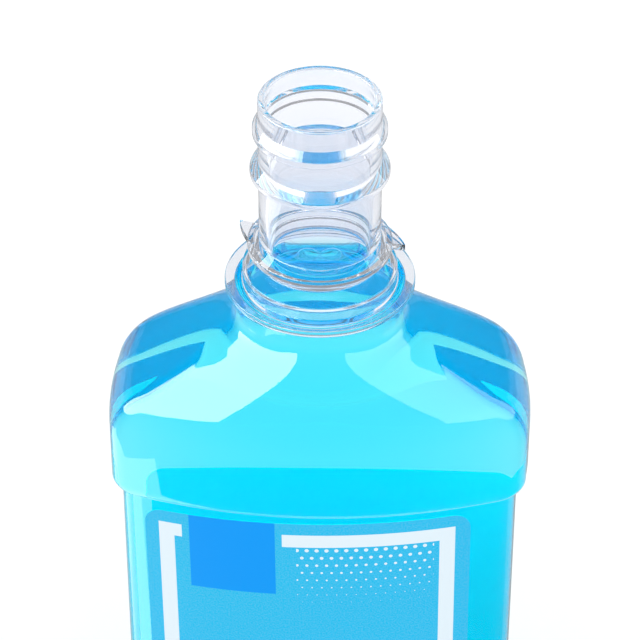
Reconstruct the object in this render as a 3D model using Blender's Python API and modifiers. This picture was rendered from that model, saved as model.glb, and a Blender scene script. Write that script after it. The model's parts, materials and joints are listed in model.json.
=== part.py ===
"""Open mouthwash bottle: a blown clear bottle, its liquid and two film labels.

Metres, +Z up. The origin is the middle of the base, and the front label faces -Y.
"""

import math

import bmesh
import bpy
import numpy as np

# Body, stacked from the base up
BAND_HALF_WIDTH = 0.0448
BAND_HALF_DEPTH = 0.0240
SIDE_HALF_DEPTH = 0.0143
SIDE_CROWN = 0.0008
CORNER_RADIUS = 0.0055
LOWER_BAND_HEIGHT = 0.0160
PANEL_HEIGHT = 0.1030
UPPER_BAND_HEIGHT = 0.0135
PANEL_INSET = 0.0022
PANEL_SIDE_HALF_DEPTH = 0.0148
WALL = 0.0006

# Base
HEEL_RADIUS = 0.0050
FOOT_WIDTH = 0.0060
RECESS_RUN = 0.0050
RECESS_HEIGHT = 0.0030

# Shoulder: a hipped roof from the round collar to the flat-sided band
COLLAR_RADIUS = 0.01735
COLLAR_HEIGHT = 0.0074
COVE_RADIUS = 0.0040
EAVE_RADIUS = 0.0140
FRONT_BEND_RISE = 0.0095
FRONT_BEND_RADIUS = 0.0250

# Neck finish, each height measured down from the rim
NECK_RADIUS = 0.0125
MOUTH_BORE_RADIUS = 0.0111
LOWER_BORE_RADIUS = 0.0106
BORE_DEPTH = 0.0381
RIM_ROUNDING = 0.0004
RATCHET_DEPTH = 0.0328
RATCHET_RADIUS = 0.0149
RATCHET_SLOPE_DROP = 0.0015
RATCHET_THICKNESS = 0.0030
CONE_DEPTH = 0.0384
CONE_RADIUS = 0.0160
CONE_DROP = 0.0017
FLANGE_RADIUS = 0.0197
FLANGE_THICKNESS = 0.0016
FLANGE_DEPTH = 0.0447
EDGE_ROUNDING = 0.0003
BODY_LAP = 0.0008

# Closure beads round the neck, each with a sloped top, a crest and a steep underside
UPPER_BEAD_DEPTH = 0.0044
UPPER_BEAD_RADIUS = 0.0136
LOWER_BEAD_DEPTH = 0.0139
LOWER_BEAD_RADIUS = 0.0142
BEAD_SLOPE_DROP = 0.0020
BEAD_CREST_HEIGHT = 0.0014
BEAD_UNDERCUT_DROP = 0.0005

# Ratchet teeth
TOOTH_RADIUS = 0.0176
TOOTH_THICKNESS = 0.0015

# Liquid and labels
FILL_DROP = 0.0005
CLEARANCE = 0.0003
LABEL_WIDTH = 0.0701
BACK_LABEL_WIDTH = 0.0727
BACK_LABEL_DROP = 0.0080
LABEL_MARGIN = 0.0020
LABEL_OFFSET = 0.0020
LABEL_CORNER = 0.0040
LABEL_THICKNESS = 0.0002

# Angles
ROOF_SLOPE = math.radians(31.8)
ROLL_SWEEP = math.radians(78.0)
TOOTH_SWEEP = math.radians(30.0)
TOOTH_STARTS = (math.radians(-8.0), math.radians(161.0))
LABEL_TILT = math.radians(0.5)

# Shares of the sizes that they follow
COLLAR_SIDE_SHARE = 0.23
COLLAR_CORNER_SHARE = 0.80
TOOTH_ROOT_SHARE = 0.65
TOOTH_POWER = 1.3
CREASE_POWER = 2.0
CORNER_POWER = 6.0

# Facets
SIDE_STEPS = 2
CORNER_STEPS = 4
FRONT_STEPS = 6
TURN_STEPS = 4 * (SIDE_STEPS + CORNER_STEPS + FRONT_STEPS)
BEND_STEPS = 4
ROLL_STEPS = 3
LABEL_STEPS = 14

LOWER_STEP_Z = LOWER_BAND_HEIGHT
PANEL_TOP_Z = LOWER_STEP_Z + PANEL_HEIGHT
BAND_TOP_Z = PANEL_TOP_Z + UPPER_BAND_HEIGHT
EAVE_Z = BAND_TOP_Z + EAVE_RADIUS * math.tan((math.pi / 2 - ROOF_SLOPE) / 2)
COVE_Z = EAVE_Z + (BAND_HALF_WIDTH - COLLAR_RADIUS) * math.tan(ROOF_SLOPE)
FLANGE_UNDERSIDE_Z = COVE_Z + COLLAR_HEIGHT
RIM_Z = FLANGE_UNDERSIDE_Z + FLANGE_DEPTH
FILL_Z = FLANGE_UNDERSIDE_Z - FILL_DROP


def rounded(corners, steps=BEND_STEPS):
    """Points of an open outline whose inner corners, each (a, b, radius), are arcs."""
    points = [np.array(corners[0][:2])]
    for before, corner, after in zip(corners, corners[1:], corners[2:]):
        tip = np.array(corner[:2])
        inward = np.array(before[:2]) - tip
        onward = np.array(after[:2]) - tip
        inward /= np.linalg.norm(inward)
        onward /= np.linalg.norm(onward)
        half = math.acos(np.clip(inward @ onward, -1, 1)) / 2
        bisector = (inward + onward) / np.linalg.norm(inward + onward)
        centre = tip + bisector * corner[2] / math.sin(half)
        start = tip + inward * corner[2] / math.tan(half) - centre
        end = tip + onward * corner[2] / math.tan(half) - centre
        sweep = math.pi - 2 * half
        for step in range(steps + 1):
            along = step / steps
            near = math.sin((1 - along) * sweep) / math.sin(sweep)
            far = math.sin(along * sweep) / math.sin(sweep)
            points.append(centre + start * near + end * far)
    points.append(np.array(corners[-1][:2]))
    return points


def shoulder_curves():
    """Half width and half depth against height, from the collar down to the band."""
    cove_start = COVE_Z + COVE_RADIUS * math.tan((math.pi / 2 - ROOF_SLOPE) / 2)
    top = FLANGE_UNDERSIDE_Z + BODY_LAP
    width = rounded([
        (COLLAR_RADIUS, top, 0),
        (COLLAR_RADIUS, COVE_Z, COVE_RADIUS),
        (BAND_HALF_WIDTH, EAVE_Z, EAVE_RADIUS),
        (BAND_HALF_WIDTH, PANEL_TOP_Z, 0),
    ])
    depth = rounded([
        (COLLAR_RADIUS, top, 0),
        (COLLAR_RADIUS, cove_start, COVE_RADIUS),
        (BAND_HALF_DEPTH, BAND_TOP_Z + FRONT_BEND_RISE, FRONT_BEND_RADIUS),
        (BAND_HALF_DEPTH, PANEL_TOP_Z, 0),
    ])
    return np.array(width), np.array(depth)


def face_arc(width, depth, side):
    """Radius and centre in plan of an arc that falls from the depth to the side's depth."""
    rise = depth - side
    arc = (width ** 2 + rise ** 2) / (2 * rise)
    return arc, depth - arc


def quarter(width, depth, side, corner, crown):
    """Outline of one level from the middle of the side to the middle of the front."""
    width -= crown
    arc, arc_y = face_arc(width, depth, side)
    corner_x = width - corner
    corner_y = arc_y + math.sqrt(max((arc - corner) ** 2 - corner_x ** 2, 0))
    turn = math.atan2(corner_y - arc_y, corner_x)
    points = []
    for step in range(SIDE_STEPS):
        share = step / SIDE_STEPS
        points.append((width + crown * (1 - share ** 2), corner_y * share))
    for step in range(CORNER_STEPS + 1):
        angle = turn * step / CORNER_STEPS
        points.append((corner_x + corner * math.cos(angle), corner_y + corner * math.sin(angle)))
    for step in range(1, FRONT_STEPS + 1):
        angle = turn + (math.pi / 2 - turn) * step / FRONT_STEPS
        points.append((arc * math.cos(angle), arc_y + arc * math.sin(angle)))
    return points


def whole(points):
    """The full ring of a quarter outline, anticlockwise from above."""
    back = [(-x, y) for x, y in reversed(points[:-1])]
    half = points + back
    return half + [(-x, -y) for x, y in half[1:-1]]


def base_ring(inset):
    """The band's outline moved inwards, on arcs with the same centres."""
    arc, arc_y = face_arc(BAND_HALF_WIDTH - SIDE_CROWN, BAND_HALF_DEPTH, SIDE_HALF_DEPTH)
    width = BAND_HALF_WIDTH - inset
    side = arc_y + math.sqrt((arc - inset) ** 2 - (width - SIDE_CROWN) ** 2)
    corner = CORNER_RADIUS * (1 - inset / (BAND_HALF_DEPTH - CORNER_RADIUS + inset))
    return whole(quarter(width, BAND_HALF_DEPTH - inset, side, corner, SIDE_CROWN))


def step_ring(share):
    """The outline on the step, from the band at 0 in to the flatter label panel at 1."""
    inset = PANEL_INSET * share
    side = SIDE_HALF_DEPTH + (PANEL_SIDE_HALF_DEPTH - SIDE_HALF_DEPTH) * share
    return whole(quarter(
        BAND_HALF_WIDTH - inset, BAND_HALF_DEPTH - inset, side, CORNER_RADIUS, SIDE_CROWN
    ))


def shoulder_ring(z, width_curve, depth_curve):
    """The shoulder's outline at a height, round at the collar and flat-sided at the band."""
    width = float(np.interp(-z, -width_curve[:, 1], width_curve[:, 0]))
    depth = float(np.interp(-z, -depth_curve[:, 1], depth_curve[:, 0]))
    to_collar = (BAND_HALF_WIDTH - width) / (BAND_HALF_WIDTH - COLLAR_RADIUS)
    collar_side = COLLAR_SIDE_SHARE * COLLAR_RADIUS
    collar_corner = COLLAR_CORNER_SHARE * COLLAR_RADIUS
    side = SIDE_HALF_DEPTH + (collar_side - SIDE_HALF_DEPTH) * to_collar ** CREASE_POWER
    side *= depth / (BAND_HALF_DEPTH + (COLLAR_RADIUS - BAND_HALF_DEPTH) * to_collar)
    corner = CORNER_RADIUS + (collar_corner - CORNER_RADIUS) * to_collar ** CORNER_POWER
    crown = SIDE_CROWN * (1 - to_collar)
    return whole(quarter(width, depth, side, corner, crown))


def body_rings(top):
    """Rings (z, outline) of the bottle's outer skin from a height down to the base's middle."""
    width_curve, depth_curve = shoulder_curves()
    roll = PANEL_INSET / (1 - math.cos(ROLL_SWEEP))
    drop = roll * math.sin(ROLL_SWEEP)
    turns = [ROLL_SWEEP * step / ROLL_STEPS for step in range(ROLL_STEPS + 1)]
    levels = {float(z) for _, z in np.vstack((width_curve, depth_curve))}
    roof = width_curve[BEND_STEPS + 1:BEND_STEPS + 3, 1]
    levels |= {float(roof[0] + (roof[1] - roof[0]) * step / 4) for step in range(1, 4)}
    levels = {z for z in levels if PANEL_TOP_Z + drop < z < top} | {top}
    levels = thinned(sorted(levels, reverse=True))
    rings = [(z, shoulder_ring(z, width_curve, depth_curve)) for z in levels]
    for angle in turns:
        share = (1 - math.cos(angle)) / (1 - math.cos(ROLL_SWEEP))
        rings.append((PANEL_TOP_Z + drop - roll * math.sin(angle), step_ring(share)))
    for angle in reversed(turns):
        share = (1 - math.cos(angle)) / (1 - math.cos(ROLL_SWEEP))
        rings.append((LOWER_STEP_Z - drop + roll * math.sin(angle), step_ring(share)))
    for step in range(BEND_STEPS + 1):
        angle = math.pi / 2 * step / BEND_STEPS
        z = HEEL_RADIUS * (1 - math.sin(angle))
        rings.append((z, base_ring(HEEL_RADIUS * (1 - math.cos(angle)))))
    rings.append((0, base_ring(HEEL_RADIUS + FOOT_WIDTH)))
    rings.append((RECESS_HEIGHT, base_ring(HEEL_RADIUS + FOOT_WIDTH + RECESS_RUN)))
    return rings


def thinned(levels):
    """Heights without those that lie closer together than the wall is thick."""
    kept = levels[:1]
    for z in levels[1:]:
        if kept[-1] - z > WALL:
            kept.append(z)
    return kept


def lofted_skin(name, top):
    """The outer skin from a height down, open at the top and closed under the base."""
    skin = bmesh.new()
    upper = None
    for z, outline in body_rings(top):
        lower = [skin.verts.new((x, y, z)) for x, y in outline]
        if upper:
            for i in range(TURN_STEPS):
                after = (i + 1) % TURN_STEPS
                skin.faces.new((upper[i], lower[i], lower[after], upper[after]))
        else:
            rim = lower
        upper = lower
    skin.faces.new(reversed(upper))
    skin.normal_update()
    return skin, rim


def add_object(name, mesh, collection):
    thing = bpy.data.objects.new(name, mesh)
    collection.objects.link(thing)
    return thing


def mesh_from(name, model):
    mesh = bpy.data.meshes.new(name)
    model.to_mesh(mesh)
    model.free()
    return mesh


def body_shell(name, collection):
    """The blown body: the open outer skin with the wall's thickness behind it."""
    skin, _ = lofted_skin(name, FLANGE_UNDERSIDE_Z + BODY_LAP)
    body = add_object(name, mesh_from(name, skin), collection)
    wall = body.modifiers.new("wall", "SOLIDIFY")
    wall.thickness = WALL
    wall.offset = -1
    wall.use_even_offset = True
    return body


def bead_outline(depth, radius):
    """Outline (radius, z) down one closure bead, from its root to its underside."""
    crest_z = RIM_Z - depth - BEAD_SLOPE_DROP
    crest_foot_z = crest_z - BEAD_CREST_HEIGHT
    return [
        (NECK_RADIUS, RIM_Z - depth),
        (radius - EDGE_ROUNDING, crest_z + EDGE_ROUNDING),
        (radius, crest_z - EDGE_ROUNDING),
        (radius, crest_foot_z + EDGE_ROUNDING),
        (radius - EDGE_ROUNDING, crest_foot_z),
        (NECK_RADIUS, crest_foot_z - BEAD_UNDERCUT_DROP),
    ]


def finish_outline():
    """Outline (radius, z) of the neck finish: down the outside, up the bore."""
    ratchet_z = RIM_Z - RATCHET_DEPTH
    ratchet_edge_z = ratchet_z - RATCHET_SLOPE_DROP
    ratchet_foot_z = ratchet_z - RATCHET_THICKNESS
    cone_z = RIM_Z - CONE_DEPTH
    flange_top_z = FLANGE_UNDERSIDE_Z + FLANGE_THICKNESS
    flare_top_z = RIM_Z - BORE_DEPTH
    outside = [
        (NECK_RADIUS - RIM_ROUNDING, RIM_Z),
        (NECK_RADIUS, RIM_Z - RIM_ROUNDING),
        *bead_outline(UPPER_BEAD_DEPTH, UPPER_BEAD_RADIUS),
        *bead_outline(LOWER_BEAD_DEPTH, LOWER_BEAD_RADIUS),
        (NECK_RADIUS, ratchet_z),
        (RATCHET_RADIUS - EDGE_ROUNDING, ratchet_edge_z + EDGE_ROUNDING),
        (RATCHET_RADIUS, ratchet_edge_z),
        (RATCHET_RADIUS, ratchet_foot_z + EDGE_ROUNDING),
        (RATCHET_RADIUS - EDGE_ROUNDING, ratchet_foot_z),
        (NECK_RADIUS, ratchet_foot_z),
        (NECK_RADIUS, cone_z),
        (CONE_RADIUS - EDGE_ROUNDING, cone_z - CONE_DROP),
        (CONE_RADIUS, cone_z - CONE_DROP - EDGE_ROUNDING),
        (CONE_RADIUS, flange_top_z),
        (FLANGE_RADIUS - EDGE_ROUNDING, flange_top_z),
        (FLANGE_RADIUS, flange_top_z - EDGE_ROUNDING),
        (FLANGE_RADIUS, FLANGE_UNDERSIDE_Z + EDGE_ROUNDING),
        (FLANGE_RADIUS - EDGE_ROUNDING, FLANGE_UNDERSIDE_Z),
    ]
    flare_radius = COLLAR_RADIUS - WALL - EDGE_ROUNDING
    flare = []
    for step in range(BEND_STEPS + 1):
        share = (1 - math.cos(math.pi * step / BEND_STEPS)) / 2
        radius = flare_radius + (LOWER_BORE_RADIUS - flare_radius) * share
        z = FLANGE_UNDERSIDE_Z + (flare_top_z - FLANGE_UNDERSIDE_Z) * step / BEND_STEPS
        flare.append((radius, z))
    mouth = [
        (MOUTH_BORE_RADIUS, RIM_Z - RIM_ROUNDING),
        (MOUTH_BORE_RADIUS + RIM_ROUNDING, RIM_Z),
    ]
    return outside + flare + mouth


def neck_finish(name, collection):
    """Rim, bore, beads, ratchet ring, cone ring and flange, turned from one outline."""
    profile = bmesh.new()
    verts = [profile.verts.new((radius, 0, z)) for radius, z in finish_outline()]
    for before, after in zip(verts, verts[1:] + verts[:1]):
        profile.edges.new((before, after))
    finish = add_object(name, mesh_from(name, profile), collection)
    turn = finish.modifiers.new("turn", "SCREW")
    turn.steps = TURN_STEPS
    turn.render_steps = TURN_STEPS
    turn.use_merge_vertices = True
    turn.merge_threshold = 0.00001
    return finish


def tooth_outline():
    """Plan of one ratchet tooth: a steep face, then a ramp that falls back to the ring."""
    root = NECK_RADIUS + (RATCHET_RADIUS - NECK_RADIUS) * TOOTH_ROOT_SHARE
    ramp = []
    for step in range(2 * BEND_STEPS + 1):
        share = step / (2 * BEND_STEPS)
        radius = root + (TOOTH_RADIUS - root) * (1 - share) ** TOOTH_POWER
        ramp.append((radius, TOOTH_SWEEP * share))
    foot = [(NECK_RADIUS, TOOTH_SWEEP), (NECK_RADIUS, 0)]
    return [(radius * math.cos(a), radius * math.sin(a)) for radius, a in ramp + foot]


def ratchet_tooth(name, turn, collection):
    """One tooth as an extruded flat outline, made a mesh for the union."""
    outline = bpy.data.curves.new(name, "CURVE")
    outline.dimensions = "2D"
    outline.fill_mode = "BOTH"
    outline.extrude = TOOTH_THICKNESS / 2
    spline = outline.splines.new("POLY")
    points = tooth_outline()
    spline.points.add(len(points) - 1)
    for point, (x, y) in zip(spline.points, points):
        point.co = (x, y, 0, 1)
    spline.use_cyclic_u = True
    curve = add_object(name + "_outline", outline, collection)
    curve.location.z = RIM_Z - RATCHET_DEPTH - RATCHET_THICKNESS + TOOTH_THICKNESS
    curve.rotation_euler.z = turn
    bpy.context.view_layer.update()
    solid = bpy.data.meshes.new_from_object(curve.evaluated_get(bpy.context.evaluated_depsgraph_get()))
    tooth = add_object(name, solid, collection)
    tooth.matrix_world = curve.matrix_world
    bpy.data.objects.remove(curve)
    welded = bmesh.new()
    welded.from_mesh(solid)
    bmesh.ops.remove_doubles(welded, verts=welded.verts, dist=0.00001)
    welded.to_mesh(solid)
    welded.free()
    return tooth


def bottle(parts, construction):
    """The one-piece bottle: blown body, turned finish and two ratchet teeth."""
    body = body_shell("bottle", parts)
    joined = [neck_finish("neck_finish", construction)]
    for index, turn in enumerate(TOOTH_STARTS):
        joined.append(ratchet_tooth(f"ratchet_tooth_{index + 1}", turn, construction))
    for piece in joined:
        piece.hide_render = True
        piece.display_type = "WIRE"
        union = body.modifiers.new(piece.name, "BOOLEAN")
        union.operation = "UNION"
        union.solver = "EXACT"
        union.object = piece
    return body


def liquid(parts):
    """The liquid: the body's skin pushed in by the wall and a clearance, with a level top."""
    fill, rim = lofted_skin("liquid", FILL_Z)
    shift = WALL + CLEARANCE
    moved = [vert.co - vert.normal * vert.calc_shell_factor() * shift for vert in fill.verts]
    for vert, place in zip(fill.verts, moved):
        vert.co = place
    for vert in rim:
        vert.co.z = FILL_Z
    fill.faces.new(rim)
    return add_object("liquid", mesh_from("liquid", fill), parts)


def label_columns(width):
    """Places along a label's length and how far its rounded corners cut in there."""
    columns = []
    for step in range(BEND_STEPS + 1):
        angle = math.pi / 2 * step / BEND_STEPS
        columns.append((LABEL_CORNER * (1 - math.cos(angle)), LABEL_CORNER * (1 - math.sin(angle))))
    straight = width - 2 * LABEL_CORNER
    for step in range(1, LABEL_STEPS):
        columns.append((LABEL_CORNER + straight * step / LABEL_STEPS, 0))
    for place, cut in reversed(columns[:BEND_STEPS + 1]):
        columns.append((width - place, cut))
    return columns


def label(name, turn, width, drop, tilt, parts):
    """A film label on the panel's arc, standing off it by the clearance, its top edge dropped."""
    arc, arc_y = face_arc(
        BAND_HALF_WIDTH - PANEL_INSET - SIDE_CROWN,
        BAND_HALF_DEPTH - PANEL_INSET,
        PANEL_SIDE_HALF_DEPTH,
    )
    arc += CLEARANCE
    middle_z = LOWER_STEP_Z + (PANEL_HEIGHT - drop) / 2
    half_height = (PANEL_HEIGHT - drop) / 2 - LABEL_MARGIN
    film = bmesh.new()
    before = None
    for place, cut in label_columns(width):
        column = []
        for rise in (cut - half_height, half_height - cut):
            across = place - width / 2
            run = across * math.cos(tilt) - rise * math.sin(tilt) - LABEL_OFFSET
            climb = across * math.sin(tilt) + rise * math.cos(tilt)
            x, y = arc * math.sin(run / arc), -arc_y - arc * math.cos(run / arc)
            column.append(film.verts.new((x, y, middle_z + climb)))
        if before:
            film.faces.new((before[0], column[0], column[1], before[1]))
        before = column
    skin = add_object(name, mesh_from(name, film), parts)
    skin.rotation_euler.z = turn
    thickness = skin.modifiers.new("film", "SOLIDIFY")
    thickness.thickness = LABEL_THICKNESS
    thickness.offset = 1
    thickness.use_even_offset = True
    return skin


def material(name, colour, roughness, transmission=0.0, ior=1.5):
    finish = bpy.data.materials.new(name)
    finish.use_nodes = True
    shader = finish.node_tree.nodes["Principled BSDF"]
    shader.inputs["Base Color"].default_value = (*colour, 1)
    shader.inputs["Roughness"].default_value = roughness
    shader.inputs["Metallic"].default_value = 0
    shader.inputs["Transmission Weight"].default_value = transmission
    shader.inputs["IOR"].default_value = ior
    return finish


def build():
    for thing in list(bpy.data.objects):
        bpy.data.objects.remove(thing)
    parts = bpy.data.collections.new("mouthwash_bottle")
    construction = bpy.data.collections.new("construction")
    for collection in (parts, construction):
        bpy.context.scene.collection.children.link(collection)
    root = add_object("bottle_origin", None, parts)
    clear = material("clear_plastic", (0.93, 0.97, 1.0), 0.03, 1.0, 1.57)
    wash = material("blue_liquid", (0.02, 0.62, 0.86), 0.0, 1.0, 1.33)
    printed = material("printed_film", (0.12, 0.53, 0.85), 0.4)
    pieces = [
        (bottle(parts, construction), clear),
        (liquid(parts), wash),
        (label("front_label", 0, LABEL_WIDTH, 0, LABEL_TILT, parts), printed),
        (label("back_label", math.pi, BACK_LABEL_WIDTH, BACK_LABEL_DROP, 0, parts), printed),
    ]
    for piece, finish in pieces:
        piece.data.materials.clear()
        piece.data.materials.append(finish)
        piece.data.shade_smooth()
        piece.data.set_sharp_from_angle(angle=math.radians(30))
        piece.parent = root


build()
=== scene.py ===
"""Looks of an open mouthwash bottle: clear plastic, blue liquid, film labels and a studio."""

import json
import math

import bmesh
import bpy
from bpy.props import FloatProperty, FloatVectorProperty, IntProperty, PointerProperty
from mathutils import Matrix, Vector

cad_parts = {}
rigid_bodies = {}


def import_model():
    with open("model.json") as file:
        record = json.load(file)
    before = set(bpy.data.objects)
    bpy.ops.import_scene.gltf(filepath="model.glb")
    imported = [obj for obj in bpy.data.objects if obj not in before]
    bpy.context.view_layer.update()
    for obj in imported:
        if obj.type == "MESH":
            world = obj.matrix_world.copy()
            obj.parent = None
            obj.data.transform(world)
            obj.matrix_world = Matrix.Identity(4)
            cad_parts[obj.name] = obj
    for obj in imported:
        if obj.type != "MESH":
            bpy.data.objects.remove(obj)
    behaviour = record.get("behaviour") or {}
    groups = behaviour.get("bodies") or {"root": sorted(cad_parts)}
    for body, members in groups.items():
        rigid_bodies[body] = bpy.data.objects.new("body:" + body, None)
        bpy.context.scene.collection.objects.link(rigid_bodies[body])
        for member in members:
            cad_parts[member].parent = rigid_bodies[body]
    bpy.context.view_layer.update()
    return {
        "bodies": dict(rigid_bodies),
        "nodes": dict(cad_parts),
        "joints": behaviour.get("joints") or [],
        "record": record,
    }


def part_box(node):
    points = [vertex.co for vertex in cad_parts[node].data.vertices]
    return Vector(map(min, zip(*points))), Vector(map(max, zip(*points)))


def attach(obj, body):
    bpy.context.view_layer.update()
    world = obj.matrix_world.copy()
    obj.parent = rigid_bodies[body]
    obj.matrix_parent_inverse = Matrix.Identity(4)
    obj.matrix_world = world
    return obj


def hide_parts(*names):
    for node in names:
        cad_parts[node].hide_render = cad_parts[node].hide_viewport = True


bl_info = {
    "name": "Mouthwash Bottle",
    "version": (1, 0, 0),
    "blender": (4, 5, 0),
    "location": "3D View > Sidebar > Bottle",
    "description": "Builds a clear bottle of blue mouthwash, its labels and a studio",
    "category": "Add Mesh",
}

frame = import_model()

# The bottle's half width, half depth and height, read from the frame
HALF_WIDTH, HALF_DEPTH, RIM_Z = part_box("bottle")[1]

# Where the liquid's edge meets the wall, a little above the flat top of its solid
EDGE_LIFT = 0.0010
FILL_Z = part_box("liquid")[1].z + EDGE_LIFT

# Body sizes
WALL = 0.0006
SIDE_HALF_DEPTH = 0.0143
SIDE_CROWN = 0.0008
CORNER_RADIUS = 0.0055
LOWER_BAND_HEIGHT = 0.0160
PANEL_HEIGHT = 0.1030
UPPER_BAND_HEIGHT = 0.0135
PANEL_INSET = 0.0022
PANEL_SIDE_HALF_DEPTH = 0.0148
HEEL_RADIUS = 0.0050
FOOT_WIDTH = 0.0060
RECESS_RUN = 0.0050
RECESS_HEIGHT = 0.0030

# Shoulder sizes
COLLAR_RADIUS = 0.01735
COLLAR_HEIGHT = 0.0074
COVE_RADIUS = 0.0040
EAVE_RADIUS = 0.0140
FRONT_BEND_RISE = 0.0095
FRONT_BEND_RADIUS = 0.0250
ROOF_SLOPE = math.radians(31.8)
ROLL_SWEEP = math.radians(78.0)

# Neck finish. Depths are measured down from the rim, and a bead is its depth and radius.
NECK_RADIUS = 0.0125
MOUTH_BORE_RADIUS = 0.0111
LOWER_BORE_RADIUS = 0.0106
BORE_DEPTH = 0.0381
RIM_ROUNDING = 0.0004
BEADS = ((0.0044, 0.0136), (0.0139, 0.0142))
BEAD_SLOPE_DROP = 0.0020
BEAD_CREST_HEIGHT = 0.0014
BEAD_UNDERCUT_DROP = 0.0005
BEAD_ROUNDING = 0.0006
RATCHET_DEPTH = 0.0328
RATCHET_RADIUS = 0.0149
RATCHET_SLOPE_DROP = 0.0015
RATCHET_THICKNESS = 0.0030
CONE_DEPTH = 0.0384
CONE_RADIUS = 0.0160
CONE_DROP = 0.0017
FLANGE_RADIUS = 0.0197
FLANGE_THICKNESS = 0.0016
FLANGE_DEPTH = 0.0447
EDGE_ROUNDING = 0.0003
TOOTH_RADIUS = 0.0176
TOOTH_THICKNESS = 0.0015
TOOTH_SWEEP = math.radians(30.0)
TOOTH_COUNT = 2
TOOTH_START = math.radians(-8.0)
TOOTH_STEP = math.radians(169.0)

# Bubbles by the far wall on the liquid
BUBBLE_COUNT = 2
BUBBLE_RADIUS = 0.0025
BUBBLE_THICKNESS = 0.00013
BUBBLE_REACH = 0.0115
BUBBLE_START = math.radians(78.0)
BUBBLE_STEP = math.radians(27.0)
BUBBLE_SIDES = 40
BUBBLE_FOOT_SIDES = 8

# Label film, pressed a hair's breadth into the wall so that no air lies between them
FILM_GRIP = 0.00003
FILM_THICKNESS = 0.00015

# Material slots of the thick neck finish, the thin body's outside and its wetted inside
NECK, BODY, WETTED = range(3)

# Material slots of a label's outer face, and of its glued side and cut edges
OUTER, GLUED = range(2)

# The printed frame and block, measured from the label's edges, and the gaps beside the block
FRAME_LEFT = 0.0031
FRAME_RIGHT = 0.0033
FRAME_TOP = 0.0031
FRAME_BAR = 0.0034
BLOCK_LEFT = 0.0098
BLOCK_RIGHT = 0.0283
BLOCK_BOTTOM = 0.0200
BLOCK_GAPS = (0.0016, 0.0015)

# The printed dots stand in staggered rows that grow smaller from the first row to the last.
# Their radius is a share of the pitch, and the gaps are to the block and the frame.
DOT_PITCH = 0.0021
DOT_ROWS = (2, 11)
DOT_RADIUS = 0.24
DOT_GAPS = (0.0045, 0.0012)

# Specks in the printed ground: scale and detail of the noise, its range and the pale ink's share
SPECK_SCALE = 2600.0
SPECK_DETAIL = 2.0
SPECK_RANGE = (0.3, 0.7)
SPECK_SHARE = 0.10

# Mottling of unprinted film: the darker tone as a share of the colour, and how much of it
MOTTLE_TONE = 0.85
MOTTLE_SHARE = 0.60

# How plastic and liquid bend light; the wetted wall is left to the liquid in its place
PLASTIC_IOR = 1.57
LIQUID_IOR = 1.333
WETTED_IOR = 1.001

# Waves in each finish: broad scale, fine scale and the fine ones' share
PLASTIC_WAVES = (45.0, 900.0, 0.02)
LIQUID_WAVES = (60.0, 400.0, 0.1)
BUBBLE_WAVES = (300.0, 2000.0, 0.3)
PRINT_WAVES = (70.0, 1500.0, 0.3)
FILM_WAVES = (90.0, 1800.0, 0.4)

# Least and greatest roughness of each finish, the depth of the waves in film, and how much
# the print mirrors
LIQUID_ROUGHNESS = (0.0, 0.002)
BUBBLE_ROUGHNESS = (0.0, 0.03)
PRINT_ROUGHNESS = (0.28, 0.42)
FILM_ROUGHNESS = (0.35, 0.50)
FILM_BUMP = 0.00002
PRINT_SPECULAR = 0.15

# Plain colours, the bubbles' tint, and what is left of lamplight behind a clear piece
WHITE = (1.0, 1.0, 1.0)
BLACK = (0.0, 0.0, 0.0)
BUBBLE_TINT = (0.80, 0.93, 0.98)
BEHIND_PLASTIC = (0.96, 0.96, 0.96)
BEHIND_BUBBLE = (0.98, 0.99, 1.0)

# Upright lamps beside the bottle: name, azimuth and strength. A lamp's strength is how bright
# its face looks, and 1 is white.
SOFT_BOXES = (("left_box", math.radians(-70), 8.0), ("right_box", math.radians(75), 2.5))
SOFT_BOX_DISTANCE = 1.0
SOFT_BOX_HALF_SPAN = math.radians(43)
SOFT_BOX_HEIGHTS = (0.15, 1.35)

# The lamp overhead, seen through clear pieces alone
TOP_BOX_HEIGHT = 1.6
TOP_BOX_WIDTH = 1.6
TOP_BOX_STRENGTH = 1.6

# Lit cards on the floor: name, azimuth, near and far end, width and strength
FLOOR_CARDS = (
    ("back_card", math.pi / 2, -0.80, 0.80, 1.20, 0.35),
    ("left_card", math.radians(-47), 0.07, 0.195, -0.25, 2.0),
)

# Drapes: name, radius, lowest angle on the dome, tone and the one kind of ray that sees it.
# The dark one runs on over the floor and leaves a small hole round the bottle's foot.
FOOT_HOLE_SHARE = 0.02
DRAPES = (
    ("dark_drape", 3.0, -math.acos(FOOT_HOLE_SHARE), 0.01, "glossy"),
    ("grey_drape", 3.1, math.radians(8), 0.40, "transmission"),
)
DRAPE_LIFT = 0.0005
DRAPE_STEPS = 8
DRAPE_SIDES = 48
DRAPE_NOISE_SCALE = 3.0
DRAPE_VARIATION = 0.05
DRAPE_PALE_TONE = 0.95

# The floor's two tones, and the glow that takes it to white where it is seen
FLOOR_TONES = (0.93, 0.96)
FLOOR_NOISE_SCALE = 30.0
FLOOR_ROUGHNESS = 0.9
FLOOR_GLOW = 0.05
FLOOR_STEPS = 8

# The world's strength where it is seen and where it only lights
WORLD_SEEN = 1.0
WORLD_LIGHT = 1.10

# The camera's sensor in millimetres, and where its view starts
SENSOR_WIDTH = 36
NEAREST_VIEW = 0.01

# Shares of the sizes that they follow, and powers of the curves between them
COLLAR_SIDE_SHARE = 0.23
COLLAR_CORNER_SHARE = 0.80
TOOTH_ROOT_SHARE = 0.65
TOOTH_POWER = 1.3
CREASE_POWER = 2.0
CORNER_POWER = 6.0
ROUND_START_SHARE = 0.70

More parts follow.
